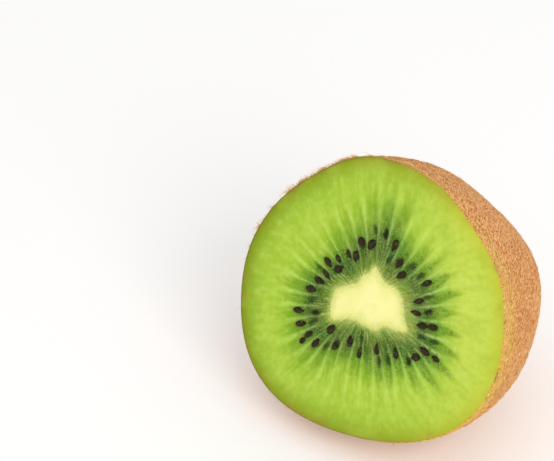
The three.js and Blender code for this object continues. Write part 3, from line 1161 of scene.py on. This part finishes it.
def kiwi_skin():
    """Dry corky peel: matt, blotched and speckled under its hairs."""
    material, tree = new_material("kiwi_peel_dry")
    place = add(tree, "TexCoord").outputs["Object"]
    nap = add(tree, "Attribute", attribute_name="nap").outputs["Vector"]
    fact = painted(tree, ("below_cut", "golden", "off_scar", "worn"))
    golden, worn, below_cut = fact["golden"], fact["worn"], fact["below_cut"]

    # Blotches 6 mm wide, rusty patches 2.5 mm wide, corky grains 0.3 mm wide, and pores 0.5 mm
    # wide and about 1 mm apart. Streaks of matted hair are 0.2 mm wide and 0.6 mm long.
    blotches, rust, grains = (
        add(tree, "TexNoise", {"Vector": place, "Scale": 1 / (size * MM), "Detail": detail})
        for size, detail in ((6, 3.0), (2.5, 4.0), (0.3, 2.0))
    )
    pores = add(tree, "TexVoronoi", {"Vector": place, "Scale": 1 / (0.9 * MM)})
    open_pores = shown(tree, [(pores, 0.3, 0.22), (pores.outputs["Color"], 0.4, 0.45)])
    streaks = add(
        tree, "TexNoise", {"Vector": nap, "Scale": 1 / 0.22, "Detail": 2.0, "Distortion": 0.4}
    )
    tan = add(tree, "ValToRGB", {"Fac": blotches}, stops=((0.35, "C9823F"), (0.65, "DEA15F")))
    colour = layered(
        tree, tan,
        (
            (0.6, "DB774A", (rust, 0.5, 0.64)),
            (0.5, "E89C66", worn),
            (0.75, "D2A646", golden),
            (0.95, "E0BC58", golden, (golden, 0.3, 0.7), (below_cut, 0.5, 0.1), (rust, 0.62, 0.5)),
            (0.45, "8E4E1C", (grains, 0.48, 0.36)),
            (0.4, "F2CA88", (grains, 0.52, 0.66)),
            (0.8, "8A4A14", (streaks, 0.48, 0.34)),
            (0.7, "F8D49A", (streaks, 0.52, 0.66)),
            (0.5, "D2AC44", golden),
            (0.55, "8C5A22", golden, (streaks, 0.5, 0.38)),
            (0.6, "F4D07C", golden, (streaks, 0.48, 0.6)),
            (0.3, "6A3216", open_pores),
            (0.6, "7A3414", open_pores, worn),
            # The flesh's green shows through the thin skin along the cut; painted shade darkens it
            # to olive away from the lamp.
            (0.85, "8A8A2C", (worn, 0.5, 0.05), (golden, 0.52, 0.32), (below_cut, 1.2, 0.3)),
            (0.6, "7A4A1C", (golden, 0.3, 0.7), (below_cut, 1.0, 0.3), (rust, 0.53, 0.62)),
            (0.75, "5A3318", (fact["off_scar"], 7.0, 3.5)),
        ),
    )
    bump = add(tree, "Bump", {"Strength": 0.6, "Distance": 0.06 * MM, "Height": grains})
    shader = add(
        tree, "BsdfPrincipled",
        {
            "Base Color": colour, "Roughness": 0.85, "Specular IOR Level": 0.15,
            "Normal": bump.outputs["Normal"],
        },
    )
    add(tree, "OutputMaterial", {"Surface": shader})
    return material


def dried_scar():
    """Dried flower tissue: golden-brown folds, with painted light on their pale crests and painted
    shade in their almost black creases.
    """
    material, tree = new_material("kiwi_flower_scar_dried")
    place = add(tree, "TexCoord").outputs["Object"]
    # Painted shade and light: dark in the creases, pale on the crests.
    folds = add(
        tree, "ValToRGB", {"Fac": painted(tree, ["crease_shading"])["crease_shading"]},
        stops=((0.1, "3E2212"), (0.5, "9A6233"), (0.8, "C98F55"), (1.0, "E8CB9A")),
    )
    rust = add(tree, "TexNoise", {"Vector": place, "Scale": 1 / (1.2 * MM), "Detail": 3.0})
    bump = add(tree, "Bump", {"Strength": 0.5, "Distance": 0.1 * MM, "Height": rust})
    shader = add(
        tree, "BsdfPrincipled",
        {
            "Base Color": layered(tree, folds, [(0.5, "B5622C", (rust, 0.5, 0.65))]),
            "Roughness": 0.8, "Specular IOR Level": 0.2, "Normal": bump.outputs["Normal"],
        },
    )
    add(tree, "OutputMaterial", {"Surface": shader})
    return material


def kiwi_seed():
    """Hard smooth seed coats, wet with juice, with painted shade and light: brown on top and almost
    black at the edge, as light falls on their domes, and with painted glints.
    """
    material, tree = new_material("kiwi_seed_wet")
    place = add(tree, "TexCoord").outputs["Object"]
    fact = painted(tree, ("crown_shading", "tint"))

    # Smears of pulp 0.8 mm wide, and painted highlights: pale glints 0.2 mm wide on some seeds.
    smears = add(tree, "TexNoise", {"Vector": place, "Scale": 1 / (0.8 * MM), "Detail": 2.0})
    glints = add(tree, "TexVoronoi", {"Vector": place, "Scale": 1 / (0.7 * MM)})
    # Painted shade and light: the coat is brown where the seed is highest and almost black at its
    # edge.
    coat = add(
        tree, "ValToRGB", {"Fac": fact["crown_shading"]},
        stops=((0.2, "1A190D"), (0.6, "2A2112"), (0.95, "372617")),
    )
    colour = layered(
        tree, coat,
        (
            (0.5, "1D1A0E", (fact["tint"], 0.5, 0.0)),
            (0.45, "4C5A26", (smears, 0.5, 0.7)),
            # Painted highlights: pale glints on some seeds.
            (0.3, "B0A890", (glints, 0.2, 0.1), (fact["tint"], 0.4, 0.6)),
        ),
    )
    shader = add(
        tree, "BsdfPrincipled",
        {"Base Color": colour, "Roughness": 0.25, "Specular IOR Level": 0.1},
    )
    add(tree, "OutputMaterial", {"Surface": shader})
    return material


def kiwi_hair():
    """Dry plant hairs: straw to rust brown, matt with a faint satin shine."""
    material, tree = new_material("kiwi_hair_dry")
    fact = painted(tree, ("tone", "golden"))
    straw = add(
        tree, "ValToRGB", {"Fac": fact["tone"]},
        stops=((0.0, "8E5226"), (0.25, "CC8C4A"), (0.65, "E8B673"), (1.0, "F6D8A2")),
    )
    colour = layered(tree, straw, [(0.6, "E2BC52", fact["golden"])])
    shader = add(
        tree, "BsdfPrincipled",
        {"Base Color": colour, "Roughness": 0.6, "Specular IOR Level": 0.15},
    )
    add(tree, "OutputMaterial", {"Surface": shader})
    return material


# ---------------- stage


def camera_axes():
    """The camera's right, up and back directions."""
    round_cos, round_sin = math.cos(VIEW_AZIMUTH), math.sin(VIEW_AZIMUTH)
    right = np.array([round_cos, round_sin, 0])
    level = np.array([round_sin, -round_cos, 0])
    above = np.array([0, 0, 1])
    back = level * math.cos(VIEW_ELEVATION) + above * math.sin(VIEW_ELEVATION)
    return right, np.cross(back, right), back


def make_camera():
    right, up, back = camera_axes()
    place = SHIFT - right * CUT_RIGHT - up * CUT_UP + back * CUT_AWAY
    bpy.ops.object.camera_add(location=place)
    camera = bpy.context.object
    camera.rotation_euler = Matrix(np.stack([right, up, back], 1)).to_euler()
    camera.data.lens = LENS
    bpy.context.scene.camera = camera


def make_light(name, place, size, power, colour):
    """A square soft light aimed at the cut."""
    bpy.ops.object.light_add(type="AREA", location=place)
    light = bpy.context.object
    light.name = name
    away = Vector(place) - Vector(SHIFT)
    light.rotation_euler = away.to_track_quat("Z", "Y").to_euler()
    light.data.size = size
    light.data.energy = power
    light.data.color = linear(colour)[:3]


def make_stage():
    """A white table, soft daylight all round and one large lamp from the right."""
    bpy.ops.object.select_all(action="DESELECT")
    bpy.ops.mesh.primitive_plane_add(size=6, location=(0, 0, -FLOOR_GAP))
    table = bpy.context.object
    table.name = "table_top"
    white, tree = new_material("white_table_matt")
    shader = add(
        tree, "BsdfPrincipled",
        {
            "Base Color": linear("FCFCFC"), "Roughness": 0.9, "Specular IOR Level": 0.0,
            "Emission Color": linear("FFFFFF"), "Emission Strength": 0.06,
        },
    )
    add(tree, "OutputMaterial", {"Surface": shader})
    table.data.materials.append(white)
    world = bpy.data.worlds.new("daylight")
    bpy.context.scene.world = world
    world.use_nodes = True
    world.node_tree.nodes["Background"].inputs["Color"].default_value = linear("FFFFFF")
    world.node_tree.nodes["Background"].inputs["Strength"].default_value = 0.8
    make_light("key_light", place=(0.5, -0.3, 0.42), size=0.4, power=2.0, colour="FFFBF4")
    bpy.context.scene.view_settings.view_transform = "Standard"


# ---------------- the half


def build():
    finish_piece(make_flesh(), kiwi_flesh(), "flesh", "flesh")
    finish_piece(make_core(), kiwi_core(), "core", "core")
    skin, outside = make_skin()
    finish_piece(skin, kiwi_skin(), "skin")
    finish_piece(make_scar_lump(), dried_scar(), "skin")
    finish_piece(make_seeds(), kiwi_seed(), "seed")
    for fuzz in make_fuzz(outside):
        finish_piece(fuzz, kiwi_hair(), "fuzz")


make_camera()
make_stage()
build()
